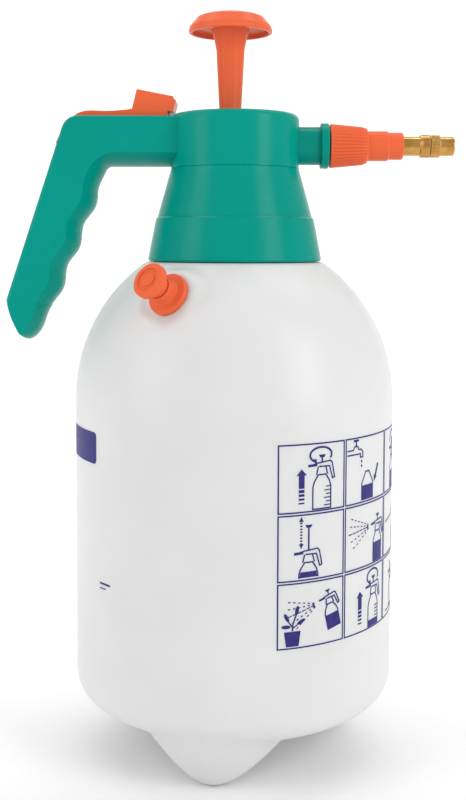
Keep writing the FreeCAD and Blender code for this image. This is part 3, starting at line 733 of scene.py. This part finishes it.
def draw_sprayer(ink, place, scale=1.0, turn=0.0, filled=0.5, plunger=1.5, base=0.0):
    """A small sprayer standing on place: nozzle to the left, handle to the right.

    filled is the height of the liquid, and base the height at which the picture is cut off.
    """

    def at(points):
        """The sprayer's own points, on the label."""
        return moved(points, place, scale, turn)

    body = [(-3.6, base), (-3.6, 7.5), (-3.0, 9.4), (-1.5, 11.6), (1.5, 11.6), (3.0, 9.4),
            (3.6, 7.5), (3.6, base)]
    ink.line(at(body), THIN, closed=base == 0)
    if filled > base:
        half = 3.4 if filled < 7.5 else 3.0
        ink.area(at([(-3.4, base + 0.1), (3.4, base + 0.1), (half, filled), (-half, filled)]))
    ink.line(at([(-2.2, 11.6), (-1.5, 14.4)]), THIN)
    ink.line(at([(2.2, 11.6), (1.5, 14.2)]), THIN)
    ink.line(at([(-4.6, 14.9), (-1.6, 15.6), (3.4, 16.1), (4.1, 15.4), (5.2, 10.4), (4.3, 10.0),
                 (3.0, 14.3), (-1.2, 14.4)]), THIN)
    ink.area(at([(-5.4, 14.4), (-2.0, 14.6), (-2.0, 15.5), (-5.4, 15.3)]))
    ink.area(at([(-0.3, 15.8), (0.3, 15.8), (0.3, 15.9 + plunger), (-0.3, 15.9 + plunger)]))
    ink.area(at([(-0.8, 15.9 + plunger), (0.8, 15.9 + plunger), (1.4, 16.9 + plunger),
                 (-1.4, 16.9 + plunger)]))


def draw_up_arrow(ink, place, height):
    """A block arrow pointing up, with a broken tail."""
    x, y = place
    ink.area([(x - 1.2, y + height * 0.46), (x + 1.2, y + height * 0.46),
              (x + 1.2, y + height - 2.4), (x - 1.2, y + height - 2.4)])
    ink.area([(x - 2.2, y + height - 2.4), (x + 2.2, y + height - 2.4), (x, y + height)])
    for step, thick in enumerate((1.2, 1.0, 0.8, 0.6)):
        low = y + height * (0.34 - 0.105 * step)
        ink.area([(x - 1.2, low), (x + 1.2, low), (x + 1.2, low + thick), (x - 1.2, low + thick)])


def draw_turn_arrow(ink, place, across, up, mirrored=False):
    """A round arrow for turning the head."""
    sign = -1 if mirrored else 1
    path = arc((0, 0), across, up, -30, 235)
    ink.line(moved([(sign * x, y) for x, y in path], place), 0.8)
    end = path[-1]
    head = [(end[0] - 1.3, end[1] + 0.9), (end[0] + 0.7, end[1] + 1.0), (end[0] + 1.1, end[1] - 1.7)]
    ink.area(moved([(sign * x, y) for x, y in head], place))


def draw_spray(ink, place, turn, length, dashes=6):
    """A fan of drops leaving a nozzle."""
    for spread in (-26, -13, 0, 13, 26):
        angle = math.radians(turn + spread)
        for step in range(dashes):
            start = length * (0.12 + 0.88 * step / dashes)
            end = start + length * (0.07 if spread else 0.12)
            ink.line([(place[0] + start * math.cos(angle), place[1] + start * math.sin(angle)),
                      (place[0] + end * math.cos(angle), place[1] + end * math.sin(angle))], 0.45)


def draw_tap(ink, place):
    """A water tap with drops under its mouth."""
    ink.line(moved([(0, 0), (3.4, 0), (4.2, 1.3), (6.0, 1.3), (6.8, 0), (8.2, 0), (9.4, -1.2),
                    (9.4, -3.2), (7.8, -3.2), (7.8, -1.8), (6.6, -1.8), (0, -1.8)], place), THIN)
    ink.area(moved([(4.7, 1.6), (5.5, 1.6), (5.5, 3.2), (4.7, 3.2)], place))
    ink.area(moved([(3.5, 3.2), (6.7, 3.2), (6.7, 4.1), (3.5, 4.1)], place))
    for level in (-4.9, -6.7):
        ink.area(moved(arc((8.6, level), 0.42, 0.62, 0, 324, 9), place))


def draw_plant(ink, place, scale=1.0):
    """A potted plant."""

    def at(points):
        """The plant's own points, on the label."""
        return moved(points, place, scale)

    ink.area(at([(-2.6, 0), (2.6, 0), (3.4, 6.0), (-3.4, 6.0)]))
    ink.line(at([(0, 6.2), (0.2, 9.0), (1.6, 12.6)]), 0.6)
    ink.line(at([(0.1, 7.6), (-1.6, 10.0)]), 0.5)
    ink.line(at([(0.1, 7.2), (2.0, 8.6)]), 0.5)
    for centre, turn in (((1.9, 14.2), 78), ((-2.4, 11.6), 118), ((3.6, 9.6), 28),
                         ((-2.6, 8.0), 178)):
        ink.area(at(moved(arc((0, 0), 1.9, 0.75, 0, 340, 17), centre, 1.0, turn)))


def build_label():
    """Nine framed pictograms, three across and three down, with no lettering."""
    left_turn = math.radians(14.2)
    cell_wide, cell_high = 29.6, 26.6
    top = 143.2
    gap = 0.55
    ink = Print("label_print", left_turn)
    for column in range(3):
        for row in range(3):
            low_x = column * cell_wide + (gap if column else 0)
            high_x = (column + 1) * cell_wide - gap
            high_y = top - row * cell_high - (gap if row else 0)
            low_y = top - (row + 1) * cell_high + gap
            ink.line([(low_x, low_y), (high_x, low_y), (high_x, high_y), (low_x, high_y)], THIN,
                     closed=True)
            draw_cell(ink, row * 3 + column, low_x, low_y)
    ink.finish(INK)


def draw_cell(ink, number, x, y):
    """One pictogram, with its cell's lower left corner at x, y."""
    if number == 0:
        draw_up_arrow(ink, (x + 9.4, y + 2.8), 13.8)
        draw_sprayer(ink, (x + 18.3, y + 0.7), 1.14, filled=0)
        for step in range(6):
            ink.line([(x + 19.3 + 0.8 * (step % 2), y + 1.9 + 1.45 * step),
                      (x + 22.1, y + 2.0 + 1.45 * step)], 0.45)
        draw_turn_arrow(ink, (x + 17.8, y + 21.6), 4.9, 3.0)
    elif number == 1:
        draw_tap(ink, (x + 0.7, y + 21.4))
        ink.line([(x + 9.6, y + 0.7), (x + 9.6, y + 7.4), (x + 12.2, y + 12.0),
                  (x + 14.6, y + 12.0), (x + 17.6, y + 7.4), (x + 17.6, y + 0.7)], THIN)
        ink.area([(x + 9.7, y + 0.7), (x + 17.5, y + 0.7), (x + 17.5, y + 6.6),
                  (x + 9.7, y + 6.6)])
        ink.line([(x + 22.0, y + 14.0), (x + 19.8, y + 9.2)], 1.2)
        ink.area([(x + 18.6, y + 9.8), (x + 21.0, y + 8.8), (x + 18.6, y + 6.9)])
    elif number == 2:
        draw_sprayer(ink, (x + 13.6, y + 0.7), 1.12, filled=6.0)
        draw_turn_arrow(ink, (x + 13.6, y + 21.4), 4.9, 3.0, mirrored=True)
    elif number == 3:
        draw_sprayer(ink, (x + 12.6, y - 6.4), 1.14, filled=8.4, plunger=7.6, base=6.3)
        for step in range(8):
            ink.line([(x + 9.4, y + 14.0 + 1.15 * step), (x + 9.4, y + 14.6 + 1.15 * step)], 0.9)
        ink.area([(x + 8.4, y + 22.9), (x + 10.4, y + 22.9), (x + 9.4, y + 24.8)])
        ink.area([(x + 8.4, y + 14.2), (x + 9.4, y + 12.4), (x + 10.4, y + 14.2)])
    elif number == 4:
        draw_sprayer(ink, (x + 22.4, y + 0.7), 1.04, filled=7.3)
        draw_spray(ink, (x + 16.4, y + 16.0), 186, 15.0)
    elif number == 5:
        draw_sprayer(ink, (x + 20.0, y + 0.7), 1.04, filled=6.8)
        ink.line([(x + 13.6, y + 15.5), (x + 2.4, y + 13.9)], 0.6)
    elif number == 6:
        draw_plant(ink, (x + 6.0, y + 0.7), 1.0)
        draw_sprayer(ink, (x + 24.8, y + 6.0), 0.86, 13.0, filled=6.6)
        draw_spray(ink, (x + 17.0, y + 16.6), 198, 14.0)
    elif number == 7:
        draw_up_arrow(ink, (x + 9.2, y + 3.0), 13.8)
        draw_sprayer(ink, (x + 19.2, y + 0.7), 1.12, filled=2.2)
        for step in range(4):
            ink.line([(x + 20.4, y + 4.2 + 1.4 * step), (x + 22.8, y + 4.3 + 1.4 * step)], 0.45)
        draw_turn_arrow(ink, (x + 18.8, y + 21.2), 4.6, 3.0)
    elif number == 8:
        draw_sprayer(ink, (x + 14.0, y + 2.6), 1.0, filled=0)
        ink.line([(x + 4.0, y + 2.0), (x + 25.0, y + 2.0)], 0.6)


def build_badge():
    """A plain blue panel, and two short fill lines lower down the tank."""
    ink = Print("badge_print", math.radians(-79.0))
    low, high, wide, bend = 130.8, 143.6, 29.4, 1.8
    outline = []
    for centre, start in (((wide - bend, high - bend), 90), ((wide - bend, low + bend), 0),
                          ((bend, low + bend), -90), ((bend, high - bend), -180)):
        outline += arc(centre, bend, bend, start, start - 90, 5)
    ink.area(outline)
    ink.finish(INK)
    mark = Print("fill_mark", math.radians(-52.0))
    mark.line([(0, 83.0), (7.0, 83.0)], 0.8)
    mark.line([(0, 81.0), (4.0, 81.0)], 0.5)
    mark.finish(INK)


# ---------------------------------------------------------------- stage

CAMERA_PLACE = (-0.0005, -0.4798, 0.219)
CAMERA_PITCH = math.radians(90 - 8.03)
CAMERA_ROLL = math.radians(0.18)
CAMERA_LENS = 50.65
WORLD_STRENGTH = 0.62


def build_stage():
    """Pale floor, white surroundings, soft lights and the camera, in metres."""
    near, depth, width, height, sweep = -1.6, 2.2, 3.0, 2.6, 0.8
    path = [(near, 0.0), (depth - sweep, 0.0)]
    for step in range(1, 17):
        angle = math.pi / 2 * step / 16
        path.append((depth - sweep + sweep * math.sin(angle), sweep * (1 - math.cos(angle))))
    path.append((depth, height))
    points = [(side * width, y, z) for y, z in path for side in (-1, 1)]
    faces = [(2 * n, 2 * n + 1, 2 * n + 3, 2 * n + 2) for n in range(len(path) - 1)]
    mesh = bpy.data.meshes.new("floor")
    mesh.from_pydata(points, [], faces)
    mesh.polygons.foreach_set("use_smooth", [True] * len(faces))
    floor = bpy.data.objects.new("floor", mesh)
    bpy.context.scene.collection.objects.link(floor)
    pale = Nodes("floor_paper")
    tone = pale.noise(3.0, 2.0)
    pale.link(pale.ramp(tone, 0.3, 0.7, ((0.90, 0.90, 0.90), (0.92, 0.92, 0.92))),
              pale.shader.inputs["Base Color"])
    pale.set(Roughness=0.9, Specular_IOR_Level=0.1)
    dress(floor, pale.material)

    world = bpy.data.worlds.new("studio")
    bpy.context.scene.world = world
    world.use_nodes = True
    world.node_tree.nodes["Background"].inputs["Color"].default_value = (1, 1, 1, 1)
    world.node_tree.nodes["Background"].inputs["Strength"].default_value = WORLD_STRENGTH

    for name, place, aim, shape, power in (
        ("left softbox", (-1.0, -0.55, 0.55), (0, 0, 0.17), (0.5, 1.1), 5.0),
        ("right softbox", (1.0, -0.75, 0.6), (0, 0, 0.17), (0.5, 1.1), 8.0),
        ("backdrop light", (0, 0.5, 1.7), (0, 1.9, 0.5), (2.4, 0.8), 26.0),
    ):
        light = bpy.data.lights.new(name, "AREA")
        light.shape = "RECTANGLE"
        light.size, light.size_y = shape
        light.energy = power
        lamp = bpy.data.objects.new(name, light)
        lamp.location = place
        lamp.rotation_euler = (Vector(aim) - Vector(place)).to_track_quat("-Z", "Y").to_euler()
        bpy.context.scene.collection.objects.link(lamp)

    lens = bpy.data.cameras.new("camera")
    lens.sensor_width = 36.0
    lens.lens = CAMERA_LENS
    camera = bpy.data.objects.new("camera", lens)
    camera.location = CAMERA_PLACE
    tilt = Matrix.Rotation(CAMERA_PITCH, 4, "X")
    roll = Matrix.Rotation(CAMERA_ROLL, 4, "Z")
    camera.rotation_euler = (tilt @ roll).to_euler()
    bpy.context.scene.collection.objects.link(camera)
    bpy.context.scene.camera = camera
    bpy.context.scene.view_settings.view_transform = "Standard"


dress_cad_nodes()
build_tank()
build_nozzle_sleeve()
build_brass()
build_label()
build_badge()
build_stage()
